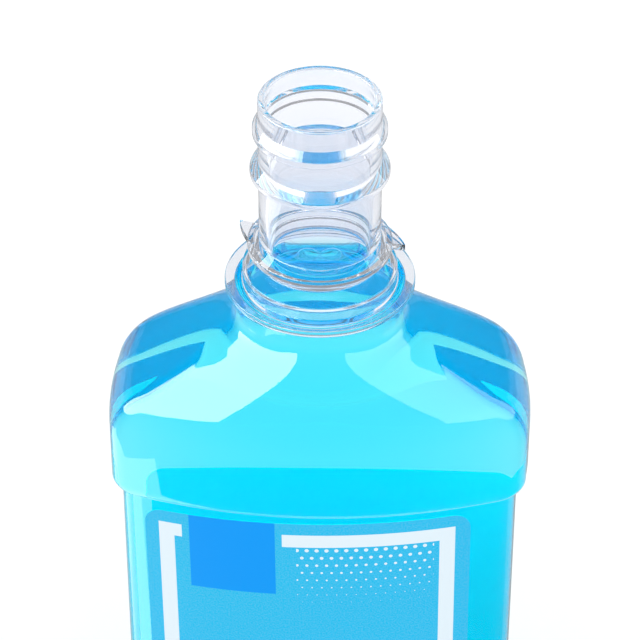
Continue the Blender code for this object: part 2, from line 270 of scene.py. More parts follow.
# Steps of the smooth meshes, and the least gap between the body's rings
SIDE_STEPS = 6
CORNER_STEPS = 12
FRONT_STEPS = 30
BEND_STEPS = 12
FINISH_STEPS = 4
BORE_STEPS = 5
ROLL_STEPS = 8
ROOF_STEPS = 10
PANEL_STEPS = 8
MENISCUS_STEPS = 16
LEAST_RING_GAP = WALL / 3

# How many of its own lengths the meniscus reaches, and which edges of a tooth are rounded
MENISCUS_REACH = 4.0
TOOTH_EDGE_ANGLE = math.radians(40.0)
TOOTH_ROUNDING = 0.7 * EDGE_ROUNDING

# Degrees past which an edge stays creased, on bottle and liquid and on labels and bubbles
CREASE = 32
FILM_CREASE = 60

# Heights of the flange's underside and of the body's steps and bends
LOWER_STEP_Z = LOWER_BAND_HEIGHT
PANEL_TOP_Z = LOWER_STEP_Z + PANEL_HEIGHT
BAND_TOP_Z = PANEL_TOP_Z + UPPER_BAND_HEIGHT
FLANGE_UNDERSIDE_Z = RIM_Z - FLANGE_DEPTH
COVE_Z = FLANGE_UNDERSIDE_Z - COLLAR_HEIGHT
EAVE_Z = COVE_Z - (HALF_WIDTH - COLLAR_RADIUS) * math.tan(ROOF_SLOPE)


def colour_setting(name, description, default):
    return FloatVectorProperty(
        name=name, description=description, default=default, subtype="COLOR", size=3, min=0, max=1
    )


def length_setting(name, description, default, least=0.0):
    return FloatProperty(
        name=name, description=description, default=default, subtype="DISTANCE", unit="LENGTH",
        min=least,
    )


def angle_setting(name, description, degrees):
    return FloatProperty(
        name=name, description=description, default=math.radians(degrees), subtype="ANGLE",
        unit="ROTATION",
    )


class BottleSettings(bpy.types.PropertyGroup):
    """Sizes and colours of the clear bottle"""

    tint: colour_setting(
        "Tint", "Colour that light takes through the plastic", (0.995, 0.997, 1.0)
    )
    neck_tint: colour_setting(
        "Neck Tint", "Colour that light takes through the thicker neck", (0.87, 0.89, 0.945)
    )
    gloss_roughness: FloatProperty(
        name="Roughness", description="Roughness of the moulded surface",
        subtype="FACTOR", min=0, max=1, default=0.003,
    )
    wave_height: length_setting(
        "Wave Height", "Height of the faint waves that blowing leaves in the wall", 0.00003
    )


class LiquidSettings(bpy.types.PropertyGroup):
    """Sizes and colours of the mouthwash"""

    depth_colour: colour_setting(
        "Colour", "Colour that is left after light has gone far through it", (0.53, 0.966, 0.9975)
    )
    density: FloatProperty(
        name="Density", description="How soon the colour shows, per metre", min=0, default=105.0,
    )
    wall_overlap: length_setting(
        "Wall Overlap", "How far the liquid reaches into the wall that it wets", 0.00058
    )
    meniscus_height: length_setting(
        "Meniscus Height", "How far the liquid climbs the wall at its level", 0.0020
    )
    meniscus_length: length_setting(
        "Meniscus Length", "How fast the climbing edge falls to the level", 0.0022, 0.0001
    )


class LabelSettings(bpy.types.PropertyGroup):
    """Sizes and colours of the film labels"""

    ground: colour_setting("Ground", "Colour of the printed ground", (0.0, 0.50, 0.84))
    block: colour_setting("Block", "Colour of the printed block", (0.0, 0.325, 0.93))
    pale: colour_setting("Pale", "Colour of the printed frame and dots", (0.76, 0.87, 0.94))
    # Painted light: the glued side is white film, and this cyan with no red in it is the colour
    # that light takes through the liquid before it reaches the film
    inside: colour_setting(
        "Inside", "Colour of the film's glued side, which light comes through", (0.0, 0.95, 0.93)
    )
    width: length_setting("Width", "Width of the front label along its arc", 0.0701, 0.01)
    margin: length_setting("Margin", "Gap between a label's edge and the panel's step", 0.0020)
    offset: length_setting(
        "Offset", "How far a label sits to the left of the panel's middle", 0.0020, -0.01
    )
    corner: length_setting("Corner", "Radius of a label's corners", 0.0040)
    back_drop: length_setting(
        "Back Drop", "How far the back label's top lies under the front one's", 0.0080
    )
    back_width: length_setting(
        "Back Width", "Width of the back label along its arc", 0.0727, 0.01
    )
    tilt: angle_setting("Tilt", "How far the front label is askew", 0.5)


class StageSettings(bpy.types.PropertyGroup):
    """Camera, light and floor"""

    lens: FloatProperty(
        name="Lens", description="Focal length in millimetres",
        subtype="DISTANCE_CAMERA", min=10, default=168.75,
    )
    turn: angle_setting("Turn", "How far round the bottle the camera stands", 1.2)
    pitch: angle_setting("Pitch", "How far the camera looks down", 37.1)
    distance: length_setting(
        "Distance", "Distance to the rim along the line of sight", 0.5938, 0.1
    )
    rise: length_setting("Rise", "How far the rim stands above the line of sight", 0.0438, -1.0)
    floor_size: length_setting("Floor Size", "Width of the floor", 8.0, 1.0)
    light_bounces: IntProperty(
        name="Light Bounces", description="How many clear surfaces light goes through at most",
        min=1, default=48,
    )


def rounded(corners, steps=BEND_STEPS):
    """Points of an open outline whose inner corners, each (a, b, radius), are arcs."""
    points = [Vector(corners[0][:2])]
    for before, corner, after in zip(corners, corners[1:], corners[2:]):
        tip = Vector(corner[:2])
        inward = (Vector(before[:2]) - tip).normalized()
        onward = (Vector(after[:2]) - tip).normalized()
        half = inward.angle(onward) / 2
        centre = tip + (inward + onward).normalized() * corner[2] / math.sin(half)
        start = tip + inward * corner[2] / math.tan(half) - centre
        end = tip + onward * corner[2] / math.tan(half) - centre
        sweep = math.pi - 2 * half
        for step in range(steps + 1):
            near = math.sin((1 - step / steps) * sweep) / math.sin(sweep)
            far = math.sin(step / steps * sweep) / math.sin(sweep)
            points.append(centre + start * near + end * far)
    points.append(Vector(corners[-1][:2]))
    return points


def read_curve(points, z):
    """The first coordinate of an outline that runs downwards, at a height."""
    for upper, lower in zip(points, points[1:]):
        if upper.y >= z >= lower.y and upper.y > lower.y:
            return upper.x + (lower.x - upper.x) * (upper.y - z) / (upper.y - lower.y)
    return points[0].x if z > points[0].y else points[-1].x


def face_arc(width, depth, side):
    """Radius and centre in plan of an arc that falls from the depth to the side's depth."""
    rise = depth - side
    arc = (width ** 2 + rise ** 2) / (2 * rise)
    return arc, depth - arc


def quarter(width, depth, side, corner, crown):
    """Outline of one level from the middle of the side to the middle of the front."""
    width -= crown
    arc, arc_y = face_arc(width, depth, side)
    corner_x = width - corner
    corner_y = arc_y + math.sqrt(max((arc - corner) ** 2 - corner_x ** 2, 0))
    turn = math.atan2(corner_y - arc_y, corner_x)
    points = []
    for step in range(SIDE_STEPS):
        share = step / SIDE_STEPS
        points.append((width + crown * (1 - share ** 2), corner_y * share))
    for step in range(CORNER_STEPS + 1):
        angle = turn * step / CORNER_STEPS
        points.append((corner_x + corner * math.cos(angle), corner_y + corner * math.sin(angle)))
    for step in range(1, FRONT_STEPS + 1):
        angle = turn + (math.pi / 2 - turn) * step / FRONT_STEPS
        points.append((arc * math.cos(angle), arc_y + arc * math.sin(angle)))
    return points


def whole(points):
    """The full ring of a quarter outline, anticlockwise from above."""
    half = points + [(-x, y) for x, y in reversed(points[:-1])]
    return half + [(-x, -y) for x, y in half[1:-1]]


def softened(points, width, depth, share):
    """A ring drawn towards the oval of its own width and depth."""
    eased = share * share * (3 - 2 * share)
    ring = []
    for x, y in points:
        angle = math.atan2(y / depth, x / width)
        oval = (width * math.cos(angle), depth * math.sin(angle))
        ring.append((x + (oval[0] - x) * eased, y + (oval[1] - y) * eased))
    return ring


def base_ring(inset):
    """The band's outline moved inwards, on arcs with the same centres."""
    arc, arc_y = face_arc(HALF_WIDTH - SIDE_CROWN, HALF_DEPTH, SIDE_HALF_DEPTH)
    width = HALF_WIDTH - inset
    side = arc_y + math.sqrt((arc - inset) ** 2 - (width - SIDE_CROWN) ** 2)
    corner = CORNER_RADIUS * (1 - inset / (HALF_DEPTH - CORNER_RADIUS + inset))
    return whole(quarter(width, HALF_DEPTH - inset, side, corner, SIDE_CROWN))


def step_ring(share):
    """The outline on the step, from the band at 0 in to the flatter label panel at 1."""
    inset = PANEL_INSET * share
    side = SIDE_HALF_DEPTH + (PANEL_SIDE_HALF_DEPTH - SIDE_HALF_DEPTH) * share
    return whole(quarter(HALF_WIDTH - inset, HALF_DEPTH - inset, side, CORNER_RADIUS, SIDE_CROWN))


def shoulder_curves():
    """Half width and half depth against height, from the collar down to the band."""
    cove_start = COVE_Z + COVE_RADIUS * math.tan((math.pi / 2 - ROOF_SLOPE) / 2)
    bends = (
        (COVE_Z, HALF_WIDTH, EAVE_Z, EAVE_RADIUS),
        (cove_start, HALF_DEPTH, BAND_TOP_Z + FRONT_BEND_RISE, FRONT_BEND_RADIUS),
    )
    return [
        rounded([
            (COLLAR_RADIUS, FLANGE_UNDERSIDE_Z, 0),
            (COLLAR_RADIUS, cove_z, COVE_RADIUS),
            (reach, bend_z, bend_radius),
            (reach, PANEL_TOP_Z, 0),
        ])
        for cove_z, reach, bend_z, bend_radius in bends
    ]


def shoulder_ring(z, width_curve, depth_curve):
    """The shoulder's outline at a height, round at the collar and flat-sided at the band."""
    width = read_curve(width_curve, z)
    depth = read_curve(depth_curve, z)
    to_collar = (HALF_WIDTH - width) / (HALF_WIDTH - COLLAR_RADIUS)
    collar_side = COLLAR_SIDE_SHARE * COLLAR_RADIUS
    collar_corner = COLLAR_CORNER_SHARE * COLLAR_RADIUS
    side = SIDE_HALF_DEPTH + (collar_side - SIDE_HALF_DEPTH) * to_collar ** CREASE_POWER
    side *= depth / (HALF_DEPTH + (COLLAR_RADIUS - HALF_DEPTH) * to_collar)
    corner = CORNER_RADIUS + (collar_corner - CORNER_RADIUS) * to_collar ** CORNER_POWER
    crown = SIDE_CROWN * (1 - to_collar)
    ring = whole(quarter(width, depth, side, corner, crown))
    roundness = max(0, (to_collar - ROUND_START_SHARE) / (1 - ROUND_START_SHARE))
    return softened(ring, width, depth, roundness)


def body_rings():
    """Rings (z, outline) of the outer skin from under the flange to the base's middle."""
    width_curve, depth_curve = shoulder_curves()
    roll = PANEL_INSET / (1 - math.cos(ROLL_SWEEP))
    drop = roll * math.sin(ROLL_SWEEP)
    roll_rings = []
    for step in range(ROLL_STEPS + 1):
        angle = ROLL_SWEEP * step / ROLL_STEPS
        share = (1 - math.cos(angle)) / (1 - math.cos(ROLL_SWEEP))
        roll_rings.append((roll * math.sin(angle), step_ring(share)))
    levels = {point.y for point in width_curve + depth_curve}
    roof = [point.y for point in width_curve[BEND_STEPS + 1:BEND_STEPS + 3]]
    levels |= {roof[0] + (roof[1] - roof[0]) * step / ROOF_STEPS for step in range(1, ROOF_STEPS)}
    levels = sorted((z for z in levels if z > PANEL_TOP_Z + drop), reverse=True)
    kept = levels[:1]
    for z in levels[1:]:
        if kept[-1] - z > LEAST_RING_GAP:
            kept.append(z)
    rings = [(z, shoulder_ring(z, width_curve, depth_curve)) for z in kept]
    rings += [(PANEL_TOP_Z + drop - fall, ring) for fall, ring in roll_rings]
    for step in range(1, PANEL_STEPS):
        rings.append((PANEL_TOP_Z - PANEL_HEIGHT * step / PANEL_STEPS, step_ring(1)))
    rings += [(LOWER_STEP_Z - drop + fall, ring) for fall, ring in reversed(roll_rings)]
    for step in range(BEND_STEPS + 1):
        angle = math.pi / 2 * step / BEND_STEPS
        z = HEEL_RADIUS * (1 - math.sin(angle))
        rings.append((z, base_ring(HEEL_RADIUS * (1 - math.cos(angle)))))
    rings.append((0, base_ring(HEEL_RADIUS + FOOT_WIDTH)))
    for step in range(1, BEND_STEPS + 1):
        rise = (1 - math.cos(math.pi * step / BEND_STEPS)) / 2
        inset = HEEL_RADIUS + FOOT_WIDTH + RECESS_RUN * step / BEND_STEPS
        rings.append((RECESS_HEIGHT * rise, base_ring(inset)))
    return rings


def outer_finish():
    """Outline (radius, z) down the outside of the neck, from the rim to the flange's underside."""
    corners = [(MOUTH_BORE_RADIUS + RIM_ROUNDING, RIM_Z, 0), (NECK_RADIUS, RIM_Z, RIM_ROUNDING)]
    for depth, radius in BEADS:
        crest_z = RIM_Z - depth - BEAD_SLOPE_DROP
        foot_z = crest_z - BEAD_CREST_HEIGHT
        corners += [
            (NECK_RADIUS, RIM_Z - depth, EDGE_ROUNDING),
            (radius, crest_z, BEAD_ROUNDING),
            (radius, foot_z, BEAD_ROUNDING),
            (NECK_RADIUS, foot_z - BEAD_UNDERCUT_DROP, EDGE_ROUNDING),
        ]
    ratchet_z = RIM_Z - RATCHET_DEPTH
    ratchet_foot_z = ratchet_z - RATCHET_THICKNESS
    cone_z = RIM_Z - CONE_DEPTH
    flange_top_z = FLANGE_UNDERSIDE_Z + FLANGE_THICKNESS
    edges = (
        (NECK_RADIUS, ratchet_z),
        (RATCHET_RADIUS, ratchet_z - RATCHET_SLOPE_DROP),
        (RATCHET_RADIUS, ratchet_foot_z),
        (NECK_RADIUS, ratchet_foot_z),
        (NECK_RADIUS, cone_z),
        (CONE_RADIUS, cone_z - CONE_DROP),
        (CONE_RADIUS, flange_top_z),
        (FLANGE_RADIUS, flange_top_z),
        (FLANGE_RADIUS, FLANGE_UNDERSIDE_Z),
        (COLLAR_RADIUS, FLANGE_UNDERSIDE_Z),
    )
    corners += [(radius, z, EDGE_ROUNDING) for radius, z in edges]
    corners.append((COLLAR_RADIUS, FLANGE_UNDERSIDE_Z - EDGE_ROUNDING, 0))
    return rounded(corners, FINISH_STEPS)[1:-1]


def bore():
    """Outline (radius, z) up the inside of the neck, from the collar to the rim's edge."""
    return rounded([
        (COLLAR_RADIUS - WALL, FLANGE_UNDERSIDE_Z - 4 * WALL, 0),
        (COLLAR_RADIUS - WALL, FLANGE_UNDERSIDE_Z, 2 * WALL),
        (CONE_RADIUS - 2 * WALL, FLANGE_UNDERSIDE_Z + 2 * FLANGE_THICKNESS, 2 * WALL),
        (LOWER_BORE_RADIUS, RIM_Z - BORE_DEPTH, WALL),
        (MOUTH_BORE_RADIUS, RIM_Z, RIM_ROUNDING),
        (NECK_RADIUS, RIM_Z, 0),
    ], BORE_STEPS)[:-1]


def add_ring(model, outline, z):
    return [model.verts.new((x, y, z)) for x, y in outline]


def bridge(model, upper, lower, slot=0):
    """Faces between two rings, facing out when the second lies below and outside."""
    for i in range(len(upper)):
        after = (i + 1) % len(upper)
        face = model.faces.new((upper[i], lower[i], lower[after], upper[after]))
        face.material_index = slot


def bridge_all(model, rows):
    for upper, lower in zip(rows, rows[1:]):
        bridge(model, upper, lower)


def close_ring(model, ring, z, up, slot=0):
    """A fan to one middle point, facing up or down."""
    middle = model.verts.new((0, 0, z))
    for i in range(len(ring)):
        after = (i + 1) % len(ring)
        corners = (ring[i], ring[after], middle) if up else (ring[after], ring[i], middle)
        model.faces.new(corners).material_index = slot


def round_rings(model, outline, rings):
    """Round rings at each (radius, z), their points over those of the body's first ring."""
    unit_ring = [Vector(point).normalized() for point in rings[0][1]]
    return [
        add_ring(model, [(radius * x, radius * y) for x, y in unit_ring], z)
        for radius, z in outline
    ]


def pushed_in(model, rings, shift, top):
    """The body's rings below a height, moved inwards along the skin's normals."""
    skin = bmesh.new()
    rows = [add_ring(skin, outline, z) for z, outline in rings]
    bridge_all(skin, rows)
    close_ring(skin, rows[-1], rings[-1][0], False)
    skin.normal_update()
    moved = [[vert.co - vert.normal * shift for vert in row] for row in rows]
    skin.free()
    return [[model.verts.new(place) for place in row] for row in moved if row[0].z < top]


def new_object(name, mesh):
    thing = bpy.data.objects.new(name, mesh)
    bpy.context.scene.collection.objects.link(thing)
    return thing


def finished(name, model):
    mesh = bpy.data.meshes.new(name)
    model.to_mesh(mesh)
    model.free()
    return new_object(name, mesh)


def smooth(piece, degrees=CREASE):
    piece.data.shade_smooth()
    piece.data.set_sharp_from_angle(angle=math.radians(degrees))


def slot_at(ring, below):
    """The thick neck's material slot down to the flange, and another one below it."""
    return NECK if ring[0].co.z > FLANGE_UNDERSIDE_Z - WALL else below


def bottle_mesh():
    """The closed wall of the bottle: down the outside, round the base, up the inside."""
    rings = body_rings()
    model = bmesh.new()
    outside = round_rings(model, outer_finish(), rings)
    outside += [add_ring(model, outline, z) for z, outline in rings[1:]]
    throat = bore()
    inside = round_rings(model, reversed(throat), rings)
    inside += pushed_in(model, rings, WALL, throat[0].y)
    for upper, lower in zip(outside, outside[1:]):
        bridge(model, upper, lower, slot_at(lower, BODY))
    for upper, lower in zip(inside, inside[1:]):
        bridge(model, lower, upper, slot_at(lower, WETTED))
    bridge(model, inside[0], outside[0])
    close_ring(model, outside[-1], RECESS_HEIGHT, False, BODY)
    close_ring(model, inside[-1], RECESS_HEIGHT + WALL, True, WETTED)
    return finished("clear_bottle", model)


def liquid_mesh(settings):
    """The liquid inside the wall, with a level top that climbs a little at its edge."""
    model = bmesh.new()
    shift = WALL - settings.wall_overlap
    rings = body_rings()
    throat = [point + Vector((settings.wall_overlap, 0)) for point in bore()]
    climbing = [point for point in throat if point.y < FILL_Z]
    edge = read_curve(throat[::-1], FILL_Z)
    surface = []
    for step in range(MENISCUS_STEPS + 1):
        gap = MENISCUS_REACH * settings.meniscus_length * (1 - step / MENISCUS_STEPS) ** 2
        climb = settings.meniscus_height * math.exp(-gap / settings.meniscus_length)
        surface.append((edge - gap, FILL_Z - settings.meniscus_height + climb))
    top = round_rings(model, surface, rings)
    close_ring(model, top[0], surface[0][1], True)
    bridge_all(model, top)
    walls = top[-1:] + round_rings(model, reversed(climbing), rings)
    walls += pushed_in(model, rings, shift, climbing[0].y)
    bridge_all(model, walls)
    close_ring(model, walls[-1], RECESS_HEIGHT + shift, False)
    return finished("blue_mouthwash", model)


def tooth_solid():
    """One ratchet tooth: a steep face and a ramp that falls back to the ring."""
    root = NECK_RADIUS + (RATCHET_RADIUS - NECK_RADIUS) * TOOTH_ROOT_SHARE
    outline = []
    for step in range(BEND_STEPS + 1):
        share = step / BEND_STEPS
        radius = root + (TOOTH_RADIUS - root) * (1 - share) ** TOOTH_POWER
        outline.append((radius, TOOTH_SWEEP * share))
    middle = (NECK_RADIUS + MOUTH_BORE_RADIUS) / 2
    outline += [(middle, TOOTH_SWEEP), (middle, 0)]
    flat = [(radius * math.cos(angle), radius * math.sin(angle)) for radius, angle in outline]
    low = RIM_Z - RATCHET_DEPTH - RATCHET_THICKNESS + TOOTH_THICKNESS / 2
    model = bmesh.new()
    lower, upper = (add_ring(model, flat, z) for z in (low, low + TOOTH_THICKNESS))
    bridge(model, upper, lower)
    model.faces.new(reversed(lower))
    model.faces.new(upper)
    rims = [edge for edge in model.edges if edge.calc_face_angle(0) > TOOTH_EDGE_ANGLE]
    bmesh.ops.bevel(
        model, geom=rims, offset=TOOTH_ROUNDING, segments=2, profile=0.5, affect="EDGES"
    )
    bmesh.ops.recalc_face_normals(model, faces=model.faces)
    return finished("tooth", model)


def bubble_ring():
    """The round foot of a bubble on the liquid, a thin ring half sunk in it."""
    model = bmesh.new()
    rows = []
    for side in range(BUBBLE_SIDES):
        angle = math.tau * side / BUBBLE_SIDES
        row = []
        for step in range(BUBBLE_FOOT_SIDES):
            turn = math.tau * step / BUBBLE_FOOT_SIDES
            reach = BUBBLE_RADIUS + BUBBLE_THICKNESS * math.cos(turn)
            z = BUBBLE_THICKNESS * math.sin(turn)
            row.append(model.verts.new((reach * math.cos(angle), reach * math.sin(angle), z)))
        rows.append(row)
    bridge_all(model, rows + rows[:1])
    return finished("bubble_ring", model)


def plug(tree, node, inputs):
    """Inputs of a node, by name or number, linked to a socket or set to a plain value."""
    for key, value in inputs.items():
        socket = node.inputs[key]
        if isinstance(value, bpy.types.NodeSocket):
            tree.links.new(value, socket)
        elif socket.type == "RGBA":
            socket.default_value = (*value, 1)
        else:
            socket.default_value = value


def put(tree, kind, inputs=None, **options):
    """A new node with its options and inputs set."""
    node = tree.nodes.new(kind)
    for key, value in options.items():
        setattr(node, key, value)
    plug(tree, node, inputs or {})
    return node


def maths(tree, operation, *values):
    """The result of a Math node on sockets or plain values."""
    return put(tree, "ShaderNodeMath", dict(enumerate(values)), operation=operation).outputs[0]


def product(tree, first, *others):
    for other in others:
        first = maths(tree, "MULTIPLY", first, other)
    return first


def spread(tree, value, low, high, start=0.0, end=1.0):
    """A value that runs from start to end, brought to run from low to high."""
    return put(tree, "ShaderNodeMapRange", {
        "Value": value, "From Min": start, "From Max": end, "To Min": low, "To Max": high,
    }).outputs["Result"]


def mixed(tree, mask, first, second):
    """The first colour where the mask is nought, and the second where it is one."""
    inputs = {"Factor": mask, 6: first, 7: second}
    return put(tree, "ShaderNodeMix", inputs, data_type="RGBA").outputs[2]


def new_group(name, kind, inputs, outputs):
    """A node group with named sockets, the values it is given and its output node."""
    tree = bpy.data.node_groups.new(name, kind)
    for way, sockets in (("INPUT", inputs), ("OUTPUT", outputs)):
        for label, socket in sockets.items():
            tree.interface.new_socket(label, in_out=way, socket_type=f"NodeSocket{socket}")
    return tree, put(tree, "NodeGroupInput").outputs, put(tree, "NodeGroupOutput")


def copies_tree():
    """Geometry Nodes: copies of a part at even angles round the bottle's axis."""
    tree, given, result = new_group("copies_round_axis", "GeometryNodeTree", {
        "Part": "Object", "Count": "Int", "Reach": "Float", "Height": "Float",
        "First Angle": "Float", "Angle Step": "Float", "Material": "Material",
    }, {"Geometry": "Geometry"})
    index = put(tree, "GeometryNodeInputIndex").outputs[0]
    angle = maths(tree, "ADD", given["First Angle"], product(tree, index, given["Angle Step"]))
    x, y = (product(tree, maths(tree, wave, angle), given["Reach"]) for wave in ("COSINE", "SINE"))
    place = put(tree, "ShaderNodeCombineXYZ", {"X": x, "Y": y, "Z": given["Height"]})
    turn = put(tree, "ShaderNodeCombineXYZ", {"Z": angle})
    points = put(tree, "GeometryNodePoints", {
        "Count": given["Count"], "Position": place.outputs[0],
    })
    part = put(tree, "GeometryNodeObjectInfo", {"Object": given["Part"]})
    copies = put(tree, "GeometryNodeInstanceOnPoints", {
        "Points": points.outputs[0], "Instance": part.outputs["Geometry"],
        "Rotation": turn.outputs[0],
    })
    real = put(tree, "GeometryNodeRealizeInstances", {"Geometry": copies.outputs[0]})
    finish = put(tree, "GeometryNodeSetMaterial", {
        "Geometry": real.outputs[0], "Material": given["Material"],
    })
    plug(tree, result, {"Geometry": finish.outputs[0]})
    return tree


def applied(piece):
    """The piece with what its modifiers make as its own plain mesh."""
    graph = bpy.context.evaluated_depsgraph_get()
    mesh = bpy.data.meshes.new_from_object(piece.evaluated_get(graph))
    piece.modifiers.clear()
    piece.data = mesh
    return piece


def copied_round(name, values):
    """A plain mesh of copies of a part round the axis, by the tree's inputs. The part goes."""
    tree = bpy.data.node_groups.get("copies_round_axis") or copies_tree()
    piece = new_object(name, bpy.data.meshes.new(name))
    maker = piece.modifiers.new(name, "NODES")
    maker.node_group = tree
    for socket in tree.interface.items_tree:
        if socket.in_out == "INPUT":
            maker[socket.identifier] = values[socket.name]
    applied(piece)
    bpy.data.objects.remove(values["Part"])
    return piece


def united(piece, other):
    """The piece with another one joined into its skin. The other one goes."""
    union = piece.modifiers.new(other.name, "BOOLEAN")
    union.operation = "UNION"
    union.solver = "EXACT"
    union.object = other
    applied(piece)
    bpy.data.objects.remove(other)
    return piece


def label_mesh(name, settings, turn, width, drop, tilt):
    """A film label wrapped on the panel, with rounded corners and its own flat map."""
    arc, arc_y = face_arc(
        HALF_WIDTH - PANEL_INSET - SIDE_CROWN, HALF_DEPTH - PANEL_INSET, PANEL_SIDE_HALF_DEPTH
    )
    arc -= FILM_GRIP
    corner = settings.corner
    half_height = (PANEL_HEIGHT - drop) / 2 - settings.margin
    middle_z = LOWER_STEP_Z + (PANEL_HEIGHT - drop) / 2
    columns = []
    for step in range(BEND_STEPS + 1):
        angle = math.pi / 2 * step / BEND_STEPS
        columns.append((corner * (1 - math.cos(angle)), corner * (1 - math.sin(angle))))
    for step in range(1, FRONT_STEPS):
        columns.append((corner + (width - 2 * corner) * step / FRONT_STEPS, 0))
    columns += [(width - place, cut) for place, cut in reversed(columns[:BEND_STEPS + 1])]
    around = Matrix.Rotation(turn, 3, "Z")
    model = bmesh.new()
    flat = model.loops.layers.uv.new("flat")
    outer_arc = arc + FILM_GRIP + FILM_THICKNESS
    rings = []
    for place, cut in columns:
        across = place - width / 2
        ring = []
        for reach, end in ((outer_arc, -1), (outer_arc, 1), (arc, 1), (arc, -1)):
            rise = end * (half_height - cut)
            run = across * math.cos(tilt) - rise * math.sin(tilt) - settings.offset
            z = middle_z + across * math.sin(tilt) + rise * math.cos(tilt)
            x, y = reach * math.sin(run / arc), -arc_y - reach * math.cos(run / arc)
            ring.append((model.verts.new(around @ Vector((x, y, z))), (across, rise)))
        rings.append(ring)

    def face(corners, slot):
        made = model.faces.new([vert for vert, _ in corners])
        made.material_index = slot
        for loop, (_, place) in zip(made.loops, corners):
            loop[flat].uv = place

    for ring, after in zip(rings, rings[1:]):
        for i in range(len(ring)):
            beyond = (i + 1) % len(ring)
            face((ring[i], after[i], after[beyond], ring[beyond]), GLUED if i else OUTER)
    face(rings[0], GLUED)
    face(rings[-1][::-1], GLUED)
    piece = finished(name, model)
    smooth(piece, FILM_CREASE)
    return piece


def wave_group():
    """Shader group: faint broad waves and fine grain, put out as a height and a mask."""
    tree, given, result = new_group("moulded_waves", "ShaderNodeTree", {
        "Vector": "Vector", "Broad Scale": "Float", "Fine Scale": "Float", "Fine Share": "Float",
    }, {"Height": "Float", "Mask": "Float"})
    broad, fine = (
        put(tree, "ShaderNodeTexNoise", {
            "Vector": given["Vector"], "Scale": given[f"{size} Scale"], "Detail": detail,
        }).outputs["Fac"]
        for size, detail in (("Broad", 1.0), ("Fine", 3.0))
    )
    blend = put(tree, "ShaderNodeMix", {
        "Factor": given["Fine Share"], "A": broad, "B": fine,
    }, data_type="FLOAT")
    plug(tree, result, {"Height": blend.outputs["Result"], "Mask": fine})
    return tree


def new_material(name):
    """A node material, its tree and its Principled shader."""
    made = bpy.data.materials.new(name)
    made.use_nodes = True
    return made, made.node_tree, made.node_tree.nodes["Principled BSDF"]


def moulded(tree, shader, waves, roughness, depth=None):
    """The wave group on the piece's own coordinates, for roughness that wanders and a bump."""
    group = put(tree, "ShaderNodeGroup", {
        "Vector": put(tree, "ShaderNodeTexCoord").outputs["Object"],
        "Broad Scale": waves[0], "Fine Scale": waves[1], "Fine Share": waves[2],
    }, node_tree=bpy.data.node_groups.get("moulded_waves") or wave_group()).outputs
    plug(tree, shader, {"Roughness": spread(tree, group["Mask"], *roughness)})
    if depth:
        bump = put(tree, "ShaderNodeBump", {
            "Strength": 1.0, "Distance": depth, "Height": group["Height"],
        })
        plug(tree, shader, {"Normal": bump.outputs["Normal"]})
    return group


def clear_material(name, inputs, waves, roughness, depth, behind):
    """A see-through finish. Lamps shine straight through it onto what stands behind."""
    made, tree, shader = new_material(name)
    plug(tree, shader, {"Transmission Weight": 1.0, **inputs})
    moulded(tree, shader, waves, roughness, depth)
    path = put(tree, "ShaderNodeLightPath")
    clear = put(tree, "ShaderNodeBsdfTransparent", {"Color": behind})
    mix = put(tree, "ShaderNodeMixShader", {
        "Fac": path.outputs["Is Shadow Ray"], 1: shader.outputs["BSDF"], 2: clear.outputs["BSDF"],
    })
    plug(tree, tree.nodes["Material Output"], {"Surface": mix.outputs["Shader"]})
    return made


def clear_plastic(name, settings, colour, ior, coat):
    """Moulded plastic, bending light itself or left to the liquid behind it, under a gloss."""
    return clear_material(name, {
        "Base Color": colour, "IOR": ior, "Coat Weight": coat, "Coat IOR": PLASTIC_IOR,
        "Coat Roughness": settings.gloss_roughness,
    }, PLASTIC_WAVES, (0.0, 2 * settings.gloss_roughness), settings.wave_height, BEHIND_PLASTIC)


def blue_liquid(settings):
    """The mouthwash, which takes red out of light and has next to no mirror against the wall."""
    made = clear_material("blue_liquid", {
        "Base Color": WHITE, "Specular Tint": BLACK, "IOR": LIQUID_IOR,
    }, LIQUID_WAVES, LIQUID_ROUGHNESS, None, WHITE)
    tree = made.node_tree
    absorb = put(tree, "ShaderNodeVolumeAbsorption", {
        "Color": settings.depth_colour, "Density": settings.density,
    })
    plug(tree, tree.nodes["Material Output"], {"Volume": absorb.outputs["Volume"]})
    return made


def bubble_film():
    """The thin clear film of a bubble."""
    return clear_material("bubble_film", {
        "Base Color": BUBBLE_TINT, "IOR": LIQUID_IOR,
    }, BUBBLE_WAVES, BUBBLE_ROUGHNESS, None, BEHIND_BUBBLE)


def printed_dots(tree, across, down):
    """A mask of round dots in staggered rows, smaller in each row than in the one above."""
    row = maths(tree, "DIVIDE", down, DOT_PITCH)
    number = maths(tree, "FLOOR", row)
    shift = product(tree, maths(tree, "PINGPONG", number, 1.0), 0.5)
    column = maths(tree, "ADD", maths(tree, "DIVIDE", across, DOT_PITCH), shift)
    squares = []
    for place in (row, column):
        off_centre = maths(tree, "SUBTRACT", maths(tree, "FRACT", place), 0.5)
        squares.append(maths(tree, "POWER", off_centre, 2.0))
    reach = maths(tree, "SQRT", maths(tree, "ADD", *squares))
    return maths(tree, "LESS_THAN", reach, spread(tree, number, DOT_RADIUS, 0.0, *DOT_ROWS))


